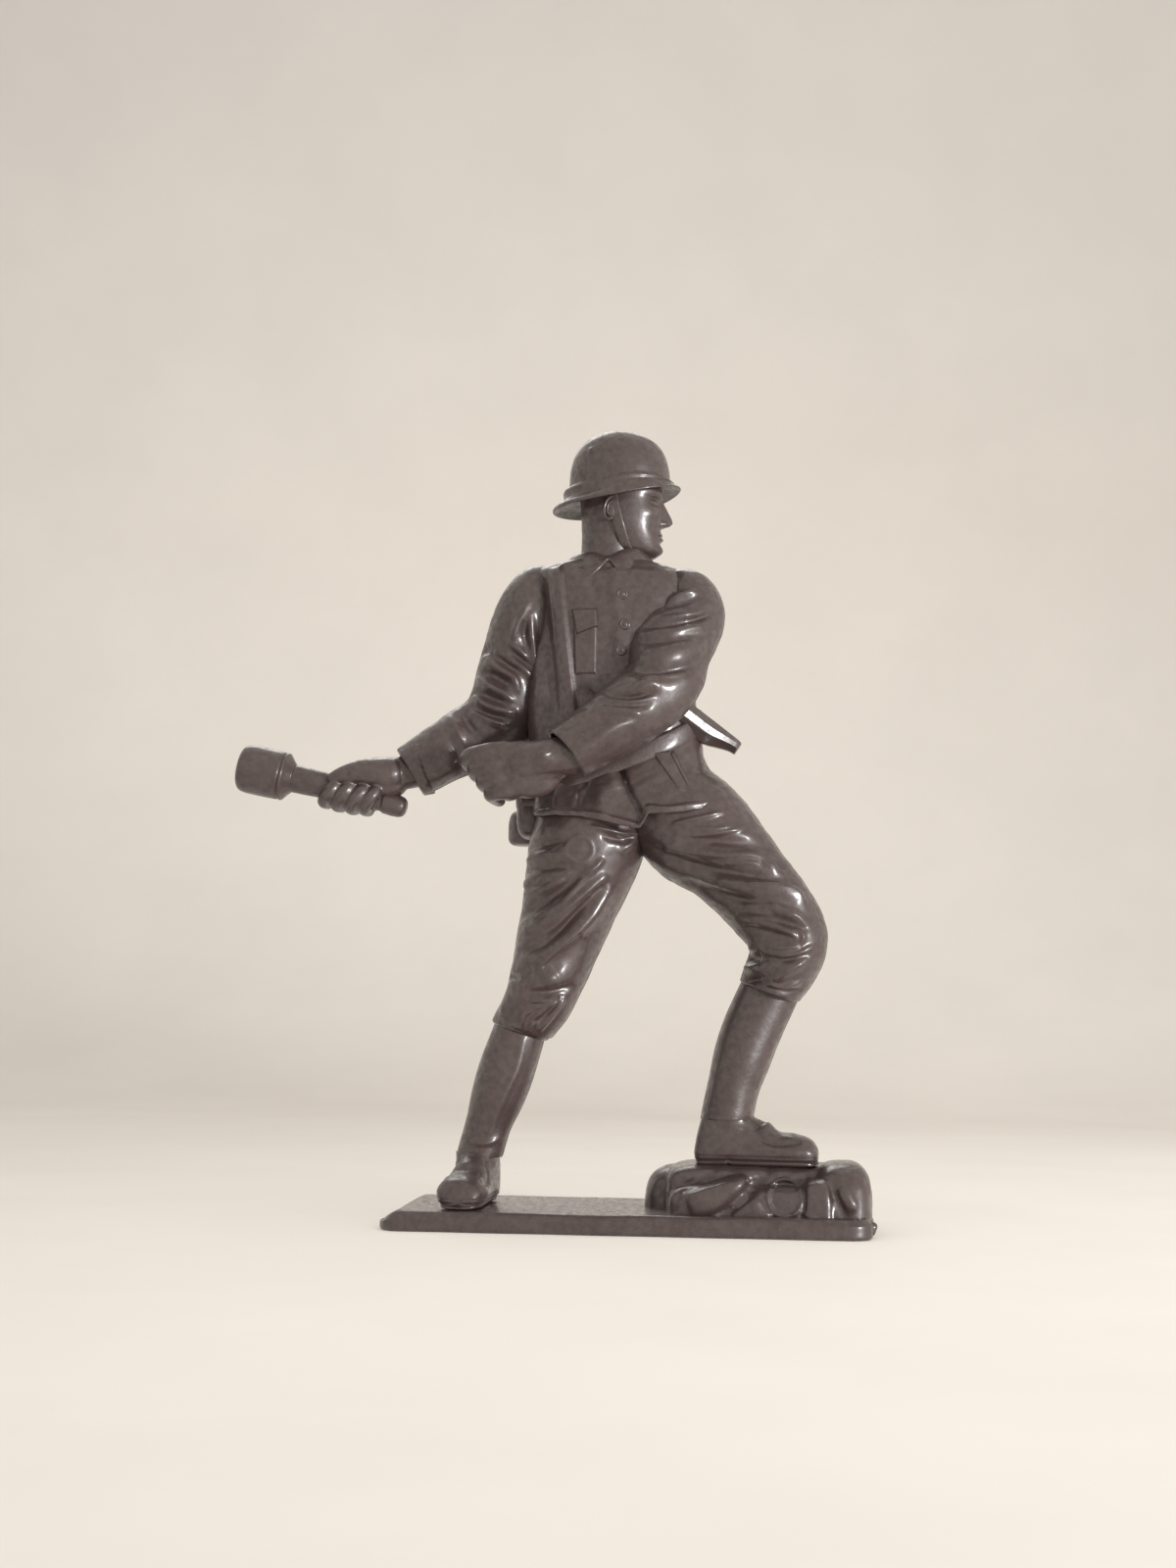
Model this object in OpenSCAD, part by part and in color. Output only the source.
// Toy soldier on a flat base, one foot on a rock, swinging a stick grenade back for a throw.
// Millimetres. +Z is up, the soldier faces -Y, and +X is the soldier's left.
// The origin is the middle of the base plate's underside.

/* [Base] */
// Length of the base plate, along X
base_length = 36; // [34:0.1:44]
// Depth of the base plate, along Y
base_depth = 15; // [13.5:0.1:20]
// Thickness of the base plate
base_thickness = 1.5; // [1:0.1:3]
// Radius of the base plate's corners, seen from above
base_corner = 1.6; // [0.8:0.1:3]
// Width of the slope round the base plate's upper edge
base_bevel = 0.5; // [0.2:0.1:0.9]
// Diameter of the broken-off moulding gate on the base plate's end
gate_diameter = 1.1; // [0.6:0.1:1.4]
// How far the broken-off gate stands out
gate_length = 0.4; // [0.2:0.1:1]

/* [Rock] */
// Length of the rock, along X
rock_length = 14.2; // [12.5:0.1:15]
// Depth of the rock, along Y
rock_depth = 11.6; // [9:0.1:13]
// Height of the rock's flat top above the base plate
rock_height = 3.3; // [2:0.1:5]
// Middle of the rock, along X
rock_middle = 11.0; // [9:0.1:11.5]
// Height of the round boulder at the rock's outer end
boulder_height = 3.9; // [3:0.1:5.5]
// Radius of the round boulder
boulder_radius = 1.75; // [1.2:0.1:2]

/* [Boots] */
// Length of a boot's sole
boot_length = 9.4; // [8:0.1:10.5]
// Width of a boot's sole
boot_width = 4.1; // [3:0.1:4.6]
// Height of the boot's ankle edge above its sole
boot_height = 3.9; // [3.2:0.1:4.8]
// Height of the toe cap
toe_height = 2.4; // [1.9:0.1:2.8]
// Radius of a boot's shaft at the ankle
ankle_radius = 1.9; // [1.6:0.05:2.3]
// Radius of the right boot's shaft at the calf
right_calf_radius = 1.95; // [1.7:0.05:2.3]
// Radius of the left boot's shaft at the calf
left_calf_radius = 2.3; // [1.9:0.05:2.6]
// Radius of the right boot's shaft at its upper edge
right_shaft_radius = 1.85; // [1.6:0.05:2.1]
// Radius of the left boot's shaft at its upper edge
left_shaft_radius = 2.15; // [1.8:0.05:2.3]

/* [Stance] */
// Right ankle: X and Y
right_ankle = [-11.8, 0.6]; // [-20:0.1:20]
// Left ankle: X and Y
left_ankle = [7.4, -0.9]; // [-20:0.1:20]
// Right boot's upper edge: X, Y and height above the base plate
right_boot_top = [-8.75, 0.4, 13.3]; // [-20:0.1:30]
// Left boot's upper edge: X, Y and height above the base plate
left_boot_top = [10.5, -1.7, 16.6]; // [-20:0.1:30]
// Right knee: X, Y and height above the base plate
right_knee = [-7.1, -0.5, 16.0]; // [-20:0.1:30]
// Left knee: X, Y and height above the base plate
left_knee = [11.9, -2.6, 20.5]; // [-20:0.1:30]
// Middle of the right thigh: X, Y and height above the base plate
right_thigh = [-5.2, -0.2, 22.3]; // [-20:0.1:40]
// Middle of the left thigh: X, Y and height above the base plate
left_thigh = [8.1, -1.4, 25.6]; // [-20:0.1:40]
// Crotch seam: X, Y and height above the hem
crotch = [0.9, 0, -4.8]; // [-20:0.1:20]
// Waist: X, Y and height above the hem
waist = [-1.5, 0, 3.9]; // [-20:0.1:20]
// Base of the neck: X, Y and height above the waist
neck = [-2.3, 0.3, 14.8]; // [-20:0.1:30]
// Right shoulder: X, Y and height above the waist
right_shoulder = [-8.3, 0.3, 11.6]; // [-20:0.1:30]
// Right elbow: X, Y and height above the waist
right_elbow = [-11.1, 0.5, 2.3]; // [-20:0.1:30]
// Right cuff: X, Y and height above the waist
right_cuff = [-17.55, -0.3, -1.7]; // [-30:0.1:30]
// Left shoulder: X, Y and height above the waist
left_shoulder = [4.2, -0.8, 11.2]; // [-20:0.1:30]
// Left elbow: X, Y and height above the waist
left_elbow = [2.7, -4.6, 4.4]; // [-20:0.1:30]
// Left cuff: X, Y and height above the waist
left_cuff = [-4.8, -6.6, -0.9]; // [-20:0.1:30]
// Middle of the head at eye height: X, Y and height above the neck's base
head_middle = [-1.3, 0, 4.8]; // [-20:0.1:20]

/* [Breeches] */
// Radius of a breeches leg at the hip
hip_radius = 4.4; // [4:0.1:4.8]
// Radius of a breeches leg at the thigh
thigh_radius = 3.55; // [3.1:0.05:4]
// Radius of the right breeches leg at the knee
right_knee_radius = 2.75; // [2.5:0.05:3.1]
// Radius of the left breeches leg at the knee
left_knee_radius = 3.1; // [2.7:0.05:3.4]
// Radius of a breeches leg where it is gathered over the boot
gather_radius = 2.2; // [2.2:0.05:2.6]

/* [Tunic] */
// Half width of the tunic at the hem
hem_half_width = 7.8; // [7.2:0.1:8.4]
// Half width of the tunic at the waist
waist_half_width = 6.3; // [5.8:0.1:6.8]
// Half width of the tunic at the chest
chest_half_width = 6.3; // [5.8:0.1:6.8]
// Half depth of the tunic at the waist
waist_half_depth = 3.7; // [3.2:0.1:4.2]
// Half depth of the tunic at the chest
chest_half_depth = 4.3; // [3.8:0.1:4.8]
// Height of the hem at the sides, above the base plate
hem_height = 31.1; // [29.5:0.1:32]
// How far the hem dips at front and back, for each millimetre of depth
hem_dip = 0.42; // [0.2:0.02:0.5]
// Radius of the collar
collar_radius = 2.9; // [2.6:0.05:3.3]
// Height of the collar
collar_height = 1.5; // [1:0.1:2]

/* [Sleeves] */
// Radius of a sleeve at the shoulder
shoulder_radius = 2.55; // [2.1:0.05:2.8]
// Radius of a sleeve at the upper arm
sleeve_radius = 2.3; // [2:0.05:2.6]
// Radius of a sleeve at the elbow
elbow_radius = 2.45; // [2.1:0.05:2.7]
// Radius of the right sleeve at its cuff
right_cuff_radius = 1.8; // [1.6:0.05:2.2]
// Radius of the left sleeve at its cuff
left_cuff_radius = 2.15; // [1.9:0.05:2.5]

/* [Head] */
// Height of the head from chin to crown
head_height = 8.6; // [7.6:0.1:9.4]
// Length of the head from face to nape
head_length = 6.5; // [5.8:0.1:7.2]
// Width of the head
head_width = 5.2; // [4.6:0.1:5.8]
// Radius of the neck
neck_radius = 2.45; // [2.1:0.05:2.55]
// Length of the helmet's dome, front to back
dome_length = 7.8; // [7.3:0.1:8.6]
// Width of the helmet's dome
dome_width = 6.6; // [6.2:0.1:7.4]
// Height of the helmet's dome above its brim
dome_height = 4.6; // [4:0.1:5.4]
// How far the brim stands out at the front
visor_reach = 0.9; // [0.5:0.05:1.4]
// How far the brim stands out over the neck
neck_guard_reach = 1.3; // [0.8:0.05:1.8]
// How far the brim stands out at the sides
side_reach = 0.75; // [0.4:0.05:1.1]
// Depth of the flared brim
brim_depth = 1.0; // [0.7:0.05:1.4]
// Width of the chin strap
chin_strap_width = 0.7; // [0.5:0.05:1]
// Thickness of the chin strap
chin_strap_thickness = 0.22; // [0.16:0.02:0.3]

/* [Hands] */
// Radius of the right hand's palm
right_palm_radius = 1.3; // [1.1:0.05:1.5]
// Radius of a finger of the right hand
right_finger_radius = 0.58; // [0.5:0.02:0.66]
// Distance from one finger of the right hand to the next
right_finger_pitch = 1.02; // [0.9:0.02:1.1]
// Radius of the left hand's palm
left_palm_radius = 1.65; // [1.4:0.05:1.9]
// Radius of a finger of the left hand
left_finger_radius = 0.64; // [0.56:0.02:0.72]
// Distance from one finger of the left hand to the next
left_finger_pitch = 1.04; // [0.94:0.02:1.12]
// Length of the left hand's fingers up to their middle knuckle
left_finger_length = 1.55; // [1.3:0.05:1.8]

/* [Grenade] */
// Diameter of the grenade's head
grenade_diameter = 3.8; // [3:0.1:4.2]
// Length of the grenade's head
grenade_length = 3.7; // [3:0.1:4.4]
// Width of the slope round the grenade's front edge
grenade_chamfer = 0.4; // [0.2:0.05:0.6]
// Length of the taper between head and stick
collar_length = 0.6; // [0.3:0.1:1]
// Diameter of the stick
stick_diameter = 2; // [1.6:0.05:2.2]
// Length of the stick from the taper to its end cap
stick_length = 8.6; // [8.2:0.1:10]
// Length of the stick that shows between the taper and the hand
stick_showing = 2.4; // [2:0.1:3.2]
// How far the grenade points down towards the hand, in degrees
grenade_tilt = 12; // [5:0.5:20]
// Gap between the stick and the hand that holds it
grip_clearance = 0.05; // [0.02:0.01:0.1]

/* [Equipment] */
// Width of the waist belt
belt_width = 1.7; // [1.2:0.1:2.2]
// How far straps, belt and pockets stand proud of the tunic
trim_height = 0.35; // [0.25:0.05:0.5]
// Width of the shoulder strap
strap_width = 1.5; // [1.1:0.1:1.9]
// How far the shoulder strap's top lies to the right of the neck's middle
strap_top_reach = 4.3; // [3.8:0.1:4.8]
// How far the shoulder strap's foot lies to the right of the waist's middle
strap_foot_reach = 3.4; // [3:0.1:4]
// Width of the breast pocket
pocket_width = 2.3; // [1.9:0.1:2.6]
// Height of the breast pocket
pocket_height = 5.2; // [4.6:0.1:5.6]
// How far the breast pocket's middle lies below the neck's base
pocket_drop = 6.8; // [6.2:0.1:7.4]
// Diameter of a tunic button
button_diameter = 0.8; // [0.5:0.05:1]
// Distance from one tunic button to the next
button_pitch = 2.2; // [1.8:0.1:2.6]
// Length of the bayonet scabbard that shows
scabbard_length = 5.2; // [4.6:0.1:5.8]
// Width of the bayonet scabbard
scabbard_width = 1.9; // [1.5:0.1:2.3]
// Thickness of the bayonet scabbard
scabbard_thickness = 1.6; // [1.2:0.1:2]
// Width of the bread bag, front to back
bag_width = 4.4; // [3.6:0.1:5]
// Height of the bread bag
bag_height = 4.6; // [4:0.1:5.4]
// Thickness of the bread bag
bag_thickness = 2.4; // [2:0.1:3]
// Diameter of the water bottle
bottle_diameter = 3.4; // [2.8:0.1:4]

/* [Hidden] */
plastic = [0.34, 0.33, 0.34];
ground = base_thickness;
rock_top = ground + rock_height;
hem_level = ground + hem_height;
waist_level = hem_level + waist[2];
neck_level = waist_level + neck[2];
limb_sides = 18;
body_sides = 32;
far = 80;

// Names of the separate pieces

// Points and curves

// A place whose height is counted from a level: the base plate's top, the hem, the waist or the neck
function raised(p, level = ground) = [p[0], p[1], p[2] + level];
function mix(a, b, t) = a + (b - a) * t;
function unit(v) = v / norm(v);
function last(list) = list[len(list) - 1];

// Value at s of a smooth curve through a list of equal-length vectors, one unit of s apart
function smooth_at(p, s) =
    let (i = min(floor(s), len(p) - 2), t = s - i,
         a = p[max(i - 1, 0)], b = p[i], c = p[i + 1], d = p[min(i + 2, len(p) - 1)])
    0.5 * (2 * b + (c - a) * t + (2 * a - 5 * b + 4 * c - d) * t * t
           + (3 * b - a - 3 * c + d) * t * t * t);
function smooth(p, steps) = [for (i = [0 : steps * (len(p) - 1)]) smooth_at(p, i / steps)];

// Cosine or sine drawn out towards a rounded square: power 1 keeps the circle
function squared(x, power) = sign(x) * pow(abs(x), power);

// Places that several pieces share

crotch_point = raised(crotch, hem_level);
waist_point = raised(waist, hem_level);
neck_point = raised(neck, waist_level);
head_point = raised(head_middle, neck_level);
right_cuff_point = raised(right_cuff, waist_level);
left_cuff_point = raised(left_cuff, waist_level);

// Skins over rings of points

// Joins rings of n points into one closed skin, with a fan over each end
module skin(rings) {
    n = len(rings[0]);
    m = len(rings);
    middle = function (ring) [for (k = [0 : 2]) [for (p = ring) p[k]] * [for (p = ring) 1] / n];
    points = concat([for (ring = rings) each ring], [middle(rings[0]), middle(last(rings))]);
    sides = [for (i = [0 : m - 2], j = [0 : n - 1]) let (k = (j + 1) % n) each [
        [i * n + j, (i + 1) * n + j, (i + 1) * n + k],
        [i * n + j, (i + 1) * n + k, i * n + k]
    ]];
    ends = [for (j = [0 : n - 1]) let (k = (j + 1) % n) each [
        [m * n, j, k],
        [m * n + 1, (m - 1) * n + k, (m - 1) * n + j]
    ]];
    polyhedron(points = points, faces = concat(sides, ends));
}

// A ring round the path direction t: a is the radius seen from the front, b the radius front to back
function limb_ring(c, t, a, b) =
    let (front = [0, -1, 0], deep = unit(front - (front * t) * t), side = cross(deep, t))
    [for (i = [0 : limb_sides - 1]) let (w = 360 * i / limb_sides)
        c + side * a * cos(w) + deep * b * sin(w)];

// A limb through stations [x, y, z, a, b]. Its first and last rings lie square to the given directions.
module limb(stations, first, final, steps = 3) {
    s = smooth(stations, steps);
    n = len(s);
    place = function (i) [s[i][0], s[i][1], s[i][2]];
    along = function (i) i == 0 ? unit(first) : i == n - 1 ? unit(final)
        : unit(place(min(i + 2, n - 1)) - place(max(i - 2, 0)));
    skin([for (i = [0 : n - 1]) limb_ring(place(i), along(i), s[i][3], s[i][4])]);
}

function station(p, a, b) = [p[0], p[1], p[2], a, b];

// Everything on the far side of a plane through p, away from the direction n
module beyond(p, n) {
    turn = unit(n);
    translate(p)
        rotate([0, acos(turn[2]), atan2(turn[1], turn[0])])
            translate([-far, -far, 0]) cube([2 * far, 2 * far, far]);
}

// Base and rock

// Outline of a rectangle with round corners, as a list of points
function round_corners(length, depth, r) =
    [for (q = [0 : 3], i = [0 : 6])
        let (w = 90 * q + 15 * i, sx = [1, -1, -1, 1][q], sy = [1, 1, -1, -1][q])
        [sx * (length / 2 - r) + r * cos(w), sy * (depth / 2 - r) + r * sin(w)]];

module base_plate() color(plastic) {
    edge = base_thickness - base_bevel;
    outline = function (inset)
        round_corners(base_length - 2 * inset, base_depth - 2 * inset, base_corner - inset);
    linear_extrude(edge) polygon(outline(0));
    skin([
        [for (p = outline(0)) [p[0], p[1], edge]],
        [for (p = outline(base_bevel)) [p[0], p[1], base_thickness]]
    ]);
    translate([base_length / 2 - base_bevel, -base_depth / 4, base_thickness / 2])
        rotate([0, 90, 0]) cylinder(d = gate_diameter, h = base_bevel + gate_length, $fn = 24);
}

// One lump of the rock: an uneven block whose corners step in towards its top
module lump(middle, length, depth, height, shrink, uneven) {
    corners = len(uneven);
    outline = function (k) [for (i = [0 : corners - 1]) let (w = 360 * i / corners)
        [length / 2 * k * uneven[i] * cos(w), depth / 2 * k * uneven[i] * sin(w)]];
    translate([middle[0], middle[1], ground]) hull() {
        linear_extrude(height * 0.55) polygon(outline(1));
        linear_extrude(height) polygon(outline(shrink));
    }
}

module rock() color(plastic) {
    outer_end = rock_middle + rock_length / 2;
    inner_end = rock_middle - rock_length / 2;
    lump([rock_middle, -rock_depth / 20], rock_length, rock_depth, rock_height, 0.86,
         [0.97, 0.98, 1.0, 0.93, 1.0, 0.95, 1.0, 0.97, 1.0, 0.98, 1.0, 0.96]);
    lump([inner_end + 0.7, rock_depth / 7], rock_length / 2, rock_depth / 2, rock_height - 0.3, 0.6,
         [1.0, 0.9, 1.0, 0.92, 1.0, 0.9, 1.0]);
    lump([outer_end - boulder_radius, -rock_depth / 12], 2 * boulder_radius, rock_depth * 0.42,
         boulder_height, 0.6, [1.0, 0.98, 1.0, 0.97, 1.0, 0.98, 1.0, 0.99, 1.0]);
}

// Boots

// A ring between a lower and an upper point seen from the side, w wide, squarer towards the sole
function boot_ring(low, high, w) =
    let (mid = (low + high) / 2, half = (high - low) / 2)
    [for (i = [0 : limb_sides - 1]) let (v = 360 * i / limb_sides, flat = sin(v) < 0 ? 0.55 : 0.9)
        let (u = squared(sin(v), flat), p = mid + half * u)
        [p[0], w * squared(cos(v), flat), p[1]]];

// A boot with its sole on z = 0, its ankle over the origin and its toe towards +X
module boot() {
    heel = -boot_length * 0.27;
    toe = boot_length + heel;
    w = boot_width / 2;
    ankle = ankle_radius;
    instep = [ankle * 1.06, boot_height * 0.94];
    skin([
        boot_ring([-ankle, boot_height], [ankle, boot_height], ankle * 0.94),
        boot_ring([heel * 0.93, boot_height * 0.55], instep, ankle * 0.93),
        boot_ring([heel, 0.45], instep + [0.25, -0.3], w * 0.86),
        boot_ring([heel * 0.8, 0], instep + [0.5, -0.5], w * 0.88),
        boot_ring([0.3, 0], [toe * 0.46, toe_height * 1.22], w * 0.88),
        boot_ring([toe * 0.52, 0], [toe * 0.58, toe_height * 1.04], w * 0.96),
        boot_ring([toe * 0.76, 0], [toe * 0.78, toe_height], w),
        boot_ring([toe * 0.92, 0], [toe * 0.93, toe_height * 0.92], w * 0.86),
        boot_ring([toe, 0.15], [toe, toe_height * 0.66], w * 0.55)
    ]);
}

right_boot_turn = -95;
left_boot_turn = -4;

module right_boot() color(plastic)
    translate([right_ankle[0], right_ankle[1], ground]) rotate(right_boot_turn) boot();

module left_boot() color(plastic)
    translate([left_ankle[0], left_ankle[1], rock_top]) rotate(left_boot_turn) boot();

// A boot's shaft from the ankle up to its edge under the breeches
module boot_shaft(ankle, top, calf, edge) {
    low = mix(ankle_radius, calf, 0.3);
    limb([
        station(ankle, ankle_radius, ankle_radius * 0.94),
        station(mix(ankle, top, 0.25), low, low),
        station(mix(ankle, top, 0.64), calf, calf),
        station(top, edge, edge)
    ], [0, 0, 1], top - ankle);
}

right_ankle_top = [right_ankle[0], right_ankle[1], ground + boot_height];
left_ankle_top = [left_ankle[0], left_ankle[1], rock_top + boot_height];

module right_boot_shaft() color(plastic)
    boot_shaft(right_ankle_top, raised(right_boot_top), right_calf_radius, right_shaft_radius);

module left_boot_shaft() color(plastic)
    boot_shaft(left_ankle_top, raised(left_boot_top), left_calf_radius, left_shaft_radius);

// Breeches

// One leg from the hip down to the gather over the boot
module breeches_form(hip, thigh, knee, knee_radius, top, ankle_top) {
    limb([
        station(hip, hip_radius * 0.95, hip_radius * 0.86),
        station(mix(hip, thigh, 0.45), hip_radius, hip_radius * 0.88),
        station(thigh, thigh_radius, thigh_radius),
        station(knee, knee_radius, knee_radius),
        station(top, gather_radius, gather_radius)
    ], thigh - hip, ankle_top - top);
}

right_hip = crotch_point + [-hip_radius * 0.84, 0.2, hip_radius * 1.1];
left_hip = crotch_point + [hip_radius * 0.42, 0.2, hip_radius];

module right_leg_form()
    breeches_form(right_hip, raised(right_thigh), raised(right_knee), right_knee_radius,
                  raised(right_boot_top), right_ankle_top);

module left_leg_form()
    breeches_form(left_hip, raised(left_thigh), raised(left_knee), left_knee_radius,
                  raised(left_boot_top), left_ankle_top);

module right_breeches_leg() color(plastic) difference() {
    right_leg_form();
    beyond(crotch_point, [1, 0, 0]);
    skirt_form();
    tunic_form();
}

module left_breeches_leg() color(plastic) difference() {
    left_leg_form();
    beyond(crotch_point, [-1, 0, 0]);
    skirt_form();
    tunic_form();
}

// Tunic

// The tunic from hem to neck, as rings
// [x, y, z, half width, half depth, rise to the left, rise to the back, dip, squareness]
waist_rise = 0.36;
waist_lean = 0.34;
tunic_waist = concat(waist_point, [waist_half_width, waist_half_depth, waist_rise, waist_lean, 0, 0.86]);
hem_middle = [crotch[0] - 1, crotch[1], hem_level];
tunic_hem = concat(hem_middle, [hem_half_width, waist_half_depth + 1.4, 0.05, 0, hem_dip, 0.66]);
belly_middle = mix(waist_point, neck_point, 0.3) + [-0.3, 0, 0];
belly_half_width = waist_half_width + 0.25;
belly_half_depth = mix(waist_half_depth, chest_half_depth, 0.5);
chest_middle = mix(waist_point, neck_point, 0.66) + [0.3, 0, 0];
shoulder_middle = mix(waist_point, neck_point, 0.88) + [0.3, 0, 0];
tunic_rows = [
    tunic_waist,
    concat(belly_middle, [belly_half_width, belly_half_depth, waist_rise / 2, waist_lean / 2, 0, 0.86]),
    concat(chest_middle, [chest_half_width, chest_half_depth, 0, 0, 0, 0.88]),
    concat(shoulder_middle, [chest_half_width, chest_half_depth * 0.86, 0, 0, 0, 0.88]),
    concat(neck_point - [0, 0, 0.6], [chest_half_width * 0.9, chest_half_depth * 0.72, 0, 0, 0, 0.88]),
    concat(neck_point, [collar_radius * 1.35, collar_radius, 0, 0, 0, 0.88])
];

function tunic_ring(s, grow) =
    [for (i = [0 : body_sides - 1]) let (
        w = 360 * i / body_sides,
        x = (s[3] + grow) * squared(cos(w), s[8]),
        y = (s[4] + grow) * squared(sin(w), s[8]))
        [s[0] + x, s[1] + y, s[2] + s[5] * x + s[6] * y - s[7] * abs(y)]];

module tunic_form(grow = 0)
    skin([for (s = smooth(tunic_rows, 3)) tunic_ring(s, grow)]);

module skirt_form(grow = 0)
    skin([for (i = [0 : 4]) tunic_ring(mix(tunic_hem, tunic_waist, i / 4), grow)]);

module tunic_body() color(plastic) tunic_form();

module tunic_skirt() color(plastic) skirt_form();

module waist_belt() color(plastic) difference() {
    lifted = function (z) [for (k = [0 : 8]) tunic_waist[k] + (k == 2 ? z : 0)];
    skin([for (z = [-belt_width / 2, 0, belt_width / 2]) tunic_ring(lifted(z), trim_height)]);
    tunic_form();
    skirt_form();
}

strap_top = neck_point - [strap_top_reach, 0, 0];
strap_foot = waist_point - [strap_foot_reach, 0, 0];

module shoulder_strap() color(plastic) difference() {
    intersection() {
        tunic_form(trim_height);
        lean = strap_foot - strap_top;
        translate(strap_foot) rotate([0, atan2(lean[0], lean[2]) + 180, 0])
            translate([-strap_width / 2, -far / 2, belt_width / 2 + 0.4]) cube([strap_width, far, far]);
    }
    tunic_form();
}

module collar() color(plastic) difference() {
    sunk = 0.4;
    pitch = (collar_height + sunk) / 3;
    flare = [0.45, 0.4, 0.15, 0];
    skin([for (i = [0 : 3]) let (r = collar_radius + flare[i])
        tunic_ring(concat(neck_point + [0, 0, i * pitch - sunk], [r, r, 0, 0.12, 0, 1]), 0)]);
    tunic_form();
}

pocket_middle = [neck[0] - pocket_width * 0.61, neck_point[2] - pocket_drop];

module breast_pocket() color(plastic) difference() {
    intersection() {
        tunic_form(trim_height);
        translate([pocket_middle[0] - pocket_width / 2, -far, pocket_middle[1] - pocket_height / 2])
            cube([pocket_width, far, pocket_height]);
    }
    tunic_form();
}

module skirt_pocket() color(plastic) difference() {
    intersection() {
        skirt_form(trim_height);
        translate([hem_middle[0] + 3.9, -far, hem_middle[2] + 0.6]) rotate([0, -14, 0])
            translate([-pocket_width / 2, 0, 0]) cube([pocket_width, far, pocket_height * 0.72]);
    }
    skirt_form();
    left_leg_form();
}

button_count = 3;
first_button = neck_point[2] - button_pitch * 1.36;

module tunic_buttons() color(plastic) difference() {
    for (i = [0 : button_count - 1])
        translate([neck[0] + 1.3, -chest_half_depth * (0.76 + 0.1 * i), first_button - button_pitch * i])
            rotate([90, 0, 0]) cylinder(d = button_diameter, h = chest_half_depth * 0.2, $fn = 24);
    tunic_form();
}

// Head and helmet

chin = head_point[2] - head_height / 2;

// The skull and face from the jaw up, as rings [height, back, front, half width] in shares of the head
module skull(grow = 0) {
    rows = smooth([
        [0.0, -0.02, 0.40, 0.18],
        [0.1, -0.3, 0.46, 0.36],
        [0.22, -0.42, 0.47, 0.44],
        [0.36, -0.48, 0.48, 0.49],
        [0.5, -0.51, 0.455, 0.5],
        [0.62, -0.52, 0.48, 0.5],
        [0.8, -0.46, 0.42, 0.44],
        [0.92, -0.3, 0.28, 0.3]
    ], 2);
    skin([for (r = rows) let (
            mid = (r[1] + r[2]) / 2 * head_length, half = (r[2] - r[1]) / 2 * head_length + grow)
        [for (i = [0 : 23]) let (w = 15 * i)
            [head_middle[0] + mid + half * squared(cos(w), 0.85),
             head_middle[1] + (r[3] * head_width + grow) * squared(sin(w), 0.85),
             chin + r[0] * head_height]]]);
}

// A place on the head: forward of its middle, to its left, and up from the chin as a share of its height
function on_head(forward, left, up) =
    [head_middle[0] + forward, head_middle[1] + left, chin + up * head_height];

// A small rounded form: the smooth hull over balls [x, y, z, radius]
module flesh(balls) hull() for (b = balls) translate([b[0], b[1], b[2]]) sphere(r = b[3], $fn = 16);

function ball(p, r) = [p[0], p[1], p[2], r];

module head_form() {
    face = head_length * 0.44;
    cheek = head_width * 0.48;
    nape = on_head(-0.9, 0, 0);
    skull();
    limb([
        station(neck_point - [0, 0, 1], neck_radius, neck_radius),
        station(mix(neck_point, nape, 0.7), neck_radius, neck_radius * 0.94),
        station(on_head(-0.8, 0, 0.4), neck_radius, neck_radius * 0.9)
    ], [0, 0, 1], [0, 0, 1], 2);
    flesh([
        ball(on_head(face, 0, 0.52), 0.28),
        ball(on_head(face - 0.1, -0.42, 0.35), 0.3),
        ball(on_head(face - 0.1, 0.42, 0.35), 0.3),
        ball(on_head(face + 0.72, 0, 0.38), 0.3)
    ]);
    for (side = [-cheek, cheek])
        flesh([ball(on_head(-0.35, side, 0.5), 0.5), ball(on_head(-0.1, side, 0.36), 0.36)]);
}

module head() color(plastic) difference() {
    head_form();
    helmet_form();
    collar();
    tunic_form();
}

// The helmet's brim line rises from nape to visor
brim_middle = [head_middle[0] - 0.25, head_middle[1], head_point[2] + 1.15];
brim_slope = 0.19;

module helmet_form() {
    // Rings [height above the brim line, share of the dome's size, share of the brim's reach]
    rows = [
        [-brim_depth, 1, 1],
        [-brim_depth + 0.3, 1, 1],
        [-brim_depth * 0.45, 1, 0.55],
        [0, 1, 0.22],
        [0.5, 1, 0],
        [dome_height * 0.34, 0.985, 0],
        [dome_height * 0.58, 0.9, 0],
        [dome_height * 0.78, 0.74, 0],
        [dome_height * 0.92, 0.5, 0],
        [dome_height, 0.22, 0]
    ];
    skin([for (r = rows) [for (i = [0 : body_sides - 1]) let (
            w = 360 * i / body_sides,
            end_reach = cos(w) > 0 ? visor_reach : neck_guard_reach,
            reach = mix(side_reach, end_reach, abs(cos(w))),
            x = (dome_length / 2 * r[1] + reach * r[2]) * cos(w),
            y = (dome_width / 2 * r[1] + reach * r[2]) * sin(w),
            fade = max(0, 1 - max(0, r[0]) / dome_height))
        [brim_middle[0] + x, brim_middle[1] + y, brim_middle[2] + r[0] + brim_slope * x * fade]]]);
}

module helmet() color(plastic) helmet_form();

module chin_strap() color(plastic) difference() {
    intersection() {
        skull(chin_strap_thickness);
        translate([head_middle[0] + chin_strap_width, head_middle[1] - far / 2, chin - 1]) rotate([0, -9, 0])
            cube([chin_strap_width, far, head_height]);
    }
    head_form();
    helmet_form();
}

// Sleeves

right_sleeve_end = right_cuff_point - raised(right_elbow, waist_level);
left_sleeve_end = left_cuff_point - raised(left_elbow, waist_level);

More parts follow.
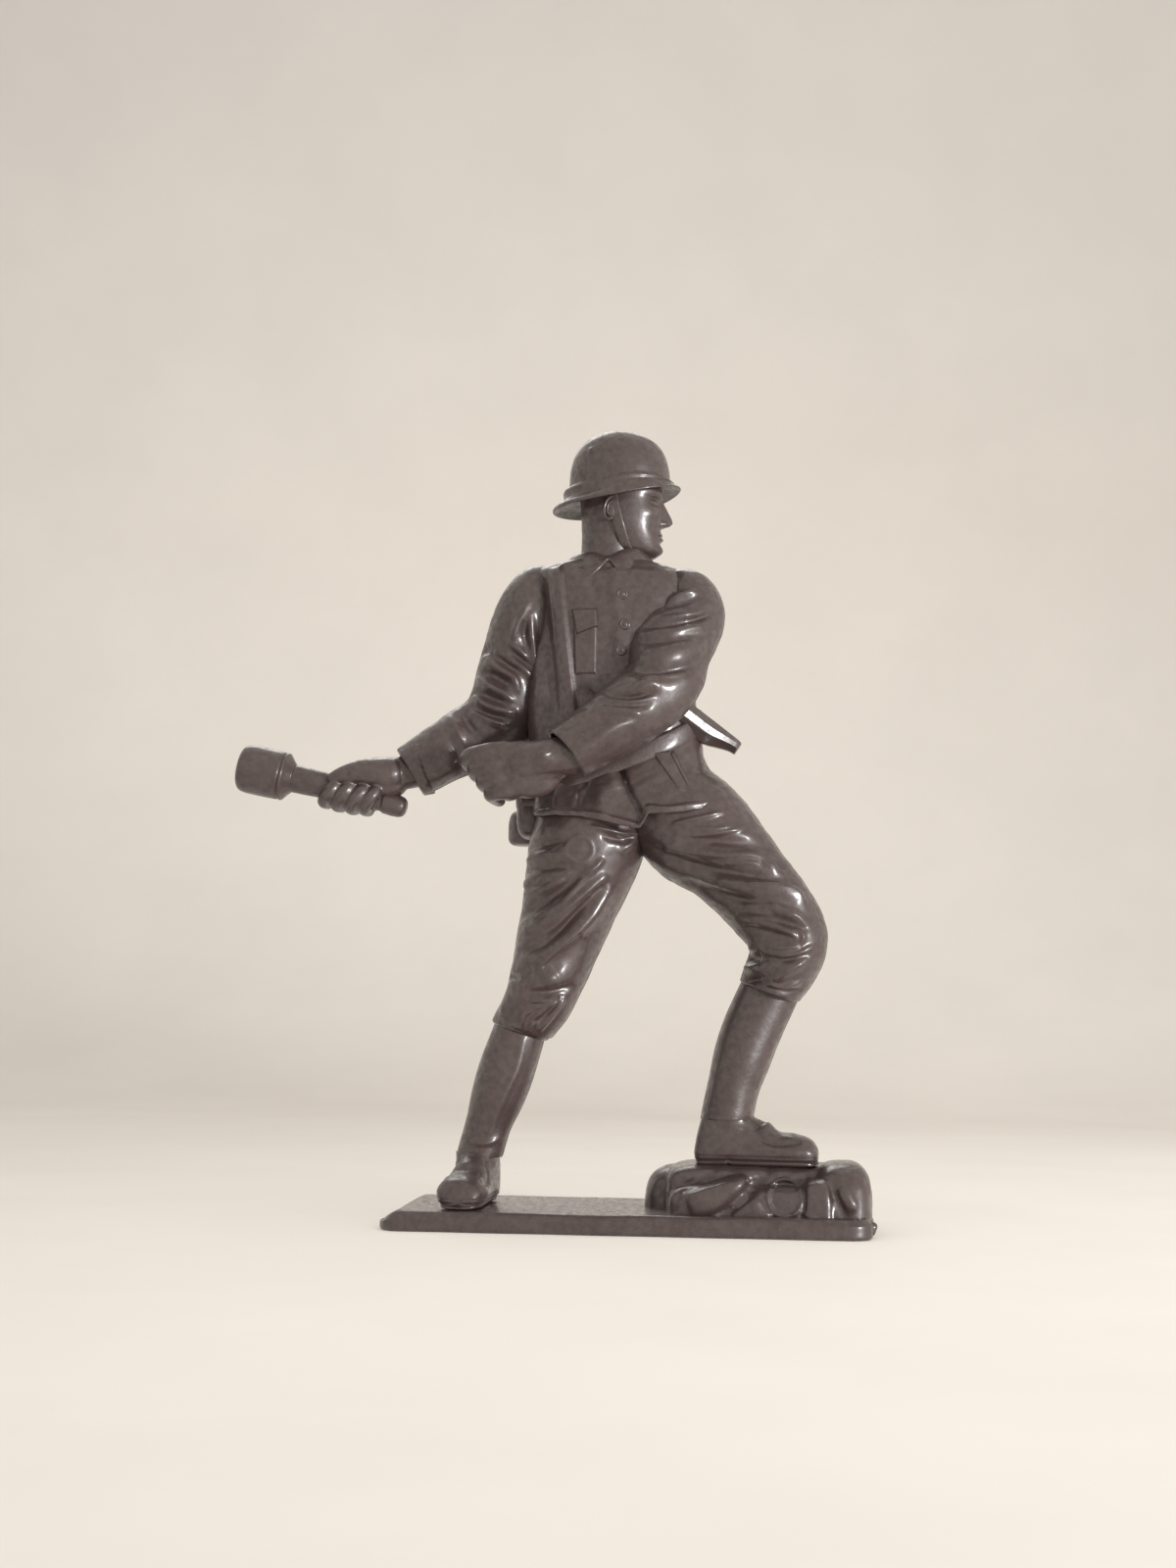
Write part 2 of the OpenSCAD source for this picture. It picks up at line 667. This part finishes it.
module right_sleeve_form() {
    top = raised(right_shoulder, waist_level);
    elbow = raised(right_elbow, waist_level);
    cuff = right_cuff_point;
    limb([
        station(top + shoulder_radius * [0.51, 0, 0.863], shoulder_radius * 0.5, shoulder_radius * 0.6),
        station(top + shoulder_radius * [0.196, 0, 0.529], shoulder_radius * 0.86, shoulder_radius * 0.95),
        station(top + shoulder_radius * [-0.039, 0, -0.275], shoulder_radius, shoulder_radius * 1.1),
        station(mix(top, elbow, 0.5), sleeve_radius, sleeve_radius * 1.08),
        station(elbow, elbow_radius, elbow_radius),
        station(mix(elbow, cuff, 0.5), elbow_radius * 0.98, elbow_radius * 0.96),
        station(cuff, right_cuff_radius, right_cuff_radius)
    ], [-0.8, 0, -1.2], right_sleeve_end);
}

module left_sleeve_form() {
    top = raised(left_shoulder, waist_level);
    elbow = raised(left_elbow, waist_level);
    cuff = left_cuff_point;
    limb([
        station(top + shoulder_radius * [-0.51, 0.039, 0.863], shoulder_radius * 0.5, shoulder_radius * 0.55),
        station(top + shoulder_radius * [-0.2, 0.04, 0.51], shoulder_radius * 0.86, shoulder_radius * 0.88),
        station(top + shoulder_radius * [0.039, 0, -0.157], shoulder_radius, shoulder_radius * 1.1),
        station(mix(top, elbow, 0.55), sleeve_radius * 1.06, sleeve_radius * 1.1),
        station(elbow, elbow_radius, elbow_radius),
        station(mix(elbow, cuff, 0.45), elbow_radius * 1.06, elbow_radius),
        station(cuff, left_cuff_radius, left_cuff_radius * 0.92)
    ], [0.8, -0.1, -1.4], left_sleeve_end);
}

module right_sleeve() color(plastic) difference() {
    right_sleeve_form();
    tunic_form();
    skirt_form();
}

module left_sleeve() color(plastic) difference() {
    left_sleeve_form();
    tunic_form();
    skirt_form();
    waist_belt();
}

// Grenade, with its axis running from the head down to the end cap

grip = right_cuff_point + right_palm_radius * [-3.31, -0.23, -1.27];
stick_mouth = grip + right_palm_radius * [-2.115, 0, 0.385];
stick_radius = stick_diameter / 2;
stick_back = stick_length - stick_showing;

// Places children along the grenade's axis: z = 0 is where the stick enters the hand
module on_grenade() translate(stick_mouth) rotate([0, 90 + grenade_tilt, 0]) children();

module grenade_stick() color(plastic) on_grenade() {
    translate([0, 0, -stick_showing]) cylinder(d = stick_diameter, h = stick_length, $fn = 32);
    translate([0, 0, stick_back])
        cylinder(d1 = stick_diameter * 1.12, d2 = stick_diameter * 0.8, h = stick_diameter * 0.35, $fn = 32);
}

module grenade_head() color(plastic) on_grenade() {
    wide = grenade_diameter / 2;
    rear_chamfer = grenade_chamfer / 2;
    whole = grenade_length + collar_length;
    translate([0, 0, -stick_showing - whole]) rotate_extrude($fn = 48) polygon([
        [0, 0], [wide - grenade_chamfer, 0], [wide, grenade_chamfer],
        [wide, grenade_length - rear_chamfer], [wide - rear_chamfer, grenade_length],
        [stick_radius + rear_chamfer, whole], [0, whole]
    ]);
}

// Hands

// A fist round the stick: palm behind it, four fingers over the front, thumb along the top
// Palm places are in palm radii from the grip, finger places in stick radii from the stick's axis
module fist() {
    palm = function (v, r) ball(grip + right_palm_radius * v, right_palm_radius * r);
    round_stick = function (v, r) ball(stick_radius * v, right_finger_radius * r);
    heel = palm([1.23, 0.23, 1.15], 1);
    back = palm([-0.46, 0.54, 0.77], 1);
    flesh([ball(right_cuff_point, right_cuff_radius * 0.69), heel]);
    flesh([heel, back, palm([0.92, 0.62, -0.23], 0.92)]);
    flesh([back, palm([-1.31, 0.54, 0.23], 0.81), palm([0.62, 0.62, -0.69], 0.85)]);
    for (i = [0 : 3]) on_grenade() translate([0, 0, right_finger_pitch * (0.74 + i)]) {
        knuckle = round_stick([0.2, -1.5, 0], 1);
        flesh([round_stick([-0.5, -1.2, -0.1], 1), knuckle]);
        flesh([knuckle, round_stick([1.25, -1.0, 0.35], 0.94)]);
    }
    on_grenade() flesh([
        round_stick([-1.3, -0.2, 3.6], 1.46),
        round_stick([-1.35, -0.75, 1.9], 1.2),
        round_stick([-1.1, -1.0, 0.5], 1.03)
    ]);
}

module right_hand() color(plastic) difference() {
    fist();
    on_grenade() translate([0, 0, -stick_showing])
        cylinder(d = stick_diameter + 2 * grip_clearance, h = far / 2, $fn = 32);
    right_sleeve_form();
}

// An open hand laid on the right forearm, with its fingers curled over it
// Places are in palm radii, and those along the fingers in finger lengths
module open_hand() {
    wrist = left_cuff_point;
    knuckle = wrist + left_palm_radius * [-2.97, 0.61, -0.73];
    palm = function (from, v, r) ball(from + left_palm_radius * v, left_palm_radius * r);
    heel = palm(wrist, [-1.03, 0.18, -0.24], 1);
    flesh([ball(wrist, left_cuff_radius * 0.7), heel]);
    flesh([heel, palm(knuckle, [-0.12, 0, 0.91], 0.576), palm(knuckle, [0.42, 0, -0.91], 0.576)]);
    flesh([palm(wrist, [-0.73, 0.18, -0.55], 0.79), palm(knuckle, [0.55, 0.24, -1.03], 0.515)]);
    for (i = [0 : 3]) {
        root = knuckle + left_finger_pitch * [0.29 * i - 0.19, -0.19, 1.39 - 0.96 * i];
        reach = 1 - 0.077 * i;
        bend = ball(root + left_finger_length * [-reach, 0.226, -0.226], left_finger_radius);
        tip = root + left_finger_length * [-reach * 1.5, 0.84, -0.484];
        flesh([ball(root, left_finger_radius * 1.09), bend]);
        flesh([bend, ball(tip, left_finger_radius * 0.875)]);
    }
}

module left_hand() color(plastic) difference() {
    open_hand();
    right_sleeve_form();
    left_sleeve_form();
    tunic_form();
    skirt_form();
}

// Equipment on the belt

scabbard_turn = 55;

module bayonet_scabbard() color(plastic) difference() {
    w = scabbard_width / 2;
    t = scabbard_thickness / 2;
    half = [[1, 0.45], [0.55, 1], [-0.55, 1], [-1, 0.45]];
    corners = concat(half, -half);
    rows = [[0, 1], [scabbard_length * 0.8, 0.92], [scabbard_length, 0.62]];
    translate(waist_point + [waist_half_width - 1.8, -1.2, 3.2]) rotate([0, 180 - scabbard_turn, 0])
        skin([for (r = rows) [for (c = corners) [w * r[1] * c[0], t * r[1] * c[1], r[0]]]]);
    left_sleeve_form();
    left_leg_form();
    tunic_form();
    skirt_form();
    waist_belt();
}

bag_middle = [hem_middle[0] - hem_half_width - 0.4, hem_middle[1] + 2.1, hem_middle[2] - 0.6];

module bread_bag() color(plastic) difference() {
    skin([for (i = [0 : 4]) let (k = [0.82, 1, 1, 0.95, 0.7][i], z = [-0.5, -0.42, 0, 0.38, 0.5][i])
        [for (j = [0 : 15]) let (v = 22.5 * j)
            [bag_middle[0] + bag_thickness / 2 * k * squared(cos(v), 0.6),
             bag_middle[1] + bag_width / 2 * k * squared(sin(v), 0.6),
             bag_middle[2] + bag_height * z]]]);
    skirt_form();
    right_leg_form();
}

module water_bottle() color(plastic) difference() {
    behind = bag_width / 2 + bottle_diameter * 0.22;
    translate(bag_middle + [-bag_thickness * 0.2, behind, -bag_height * 0.2]) {
        sphere(d = bottle_diameter, $fn = 32);
        cylinder(d = bottle_diameter * 0.42, h = bottle_diameter * 0.75, $fn = 24);
    }
    skirt_form();
    right_leg_form();
    bread_bag();
}

base_plate();
rock();
right_boot();
right_boot_shaft();
right_breeches_leg();
left_boot();
left_boot_shaft();
left_breeches_leg();
tunic_skirt();
tunic_body();
waist_belt();
shoulder_strap();
collar();
breast_pocket();
skirt_pocket();
tunic_buttons();
head();
chin_strap();
helmet();
right_sleeve();
right_hand();
grenade_head();
grenade_stick();
left_sleeve();
left_hand();
bayonet_scabbard();
bread_bag();
water_bottle();
